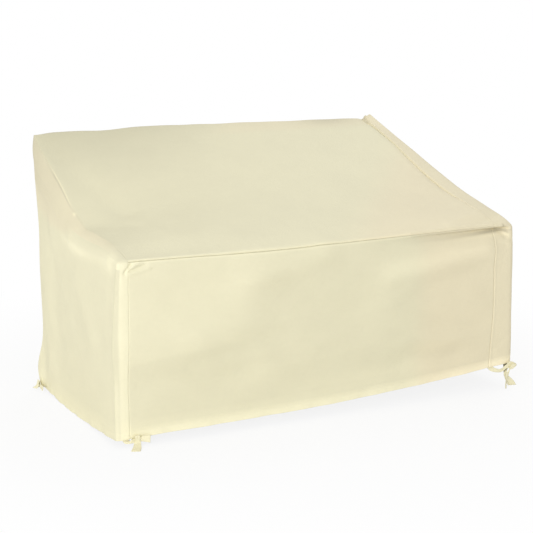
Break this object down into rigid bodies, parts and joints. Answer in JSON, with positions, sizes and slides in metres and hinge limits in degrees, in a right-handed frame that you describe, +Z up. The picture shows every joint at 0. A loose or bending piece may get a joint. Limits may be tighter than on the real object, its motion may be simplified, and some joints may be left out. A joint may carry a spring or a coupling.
{
  "type": "garden bench cover",
  "caption": "Fitted cloth cover for a garden bench, draped as it stands, with a sloping top, wrapped side panels and knotted ties at the hem.",
  "frame": {"origin": "under the ridge of the back, at the middle of its length, where a bench's top rail holds the cover up", "axes": "+X along the bench, the front faces -Y, +Z up"},
  "size_m": [1.544, 0.9657, 0.8963],
  "materials": {
    "coated_cloth": "cream woven polyester with a water-repellent coating, semi-matte",
    "cotton_tape": "pale cream woven tape, matte"
  },
  "bodies": {
    "root": {"panel_front": "coated_cloth", "panel_slope": "coated_cloth", "panel_back": "coated_cloth", "panel_side_left": "coated_cloth", "panel_side_right": "coated_cloth", "tie_front_left_long": "cotton_tape", "tie_front_left_short": "cotton_tape", "tie_front_right_long": "cotton_tape", "tie_front_right_short": "cotton_tape", "tie_back_left_long": "cotton_tape", "tie_back_left_short": "cotton_tape", "tie_back_right_long": "cotton_tape", "tie_back_right_short": "cotton_tape"}
  },
  "joints": []
}
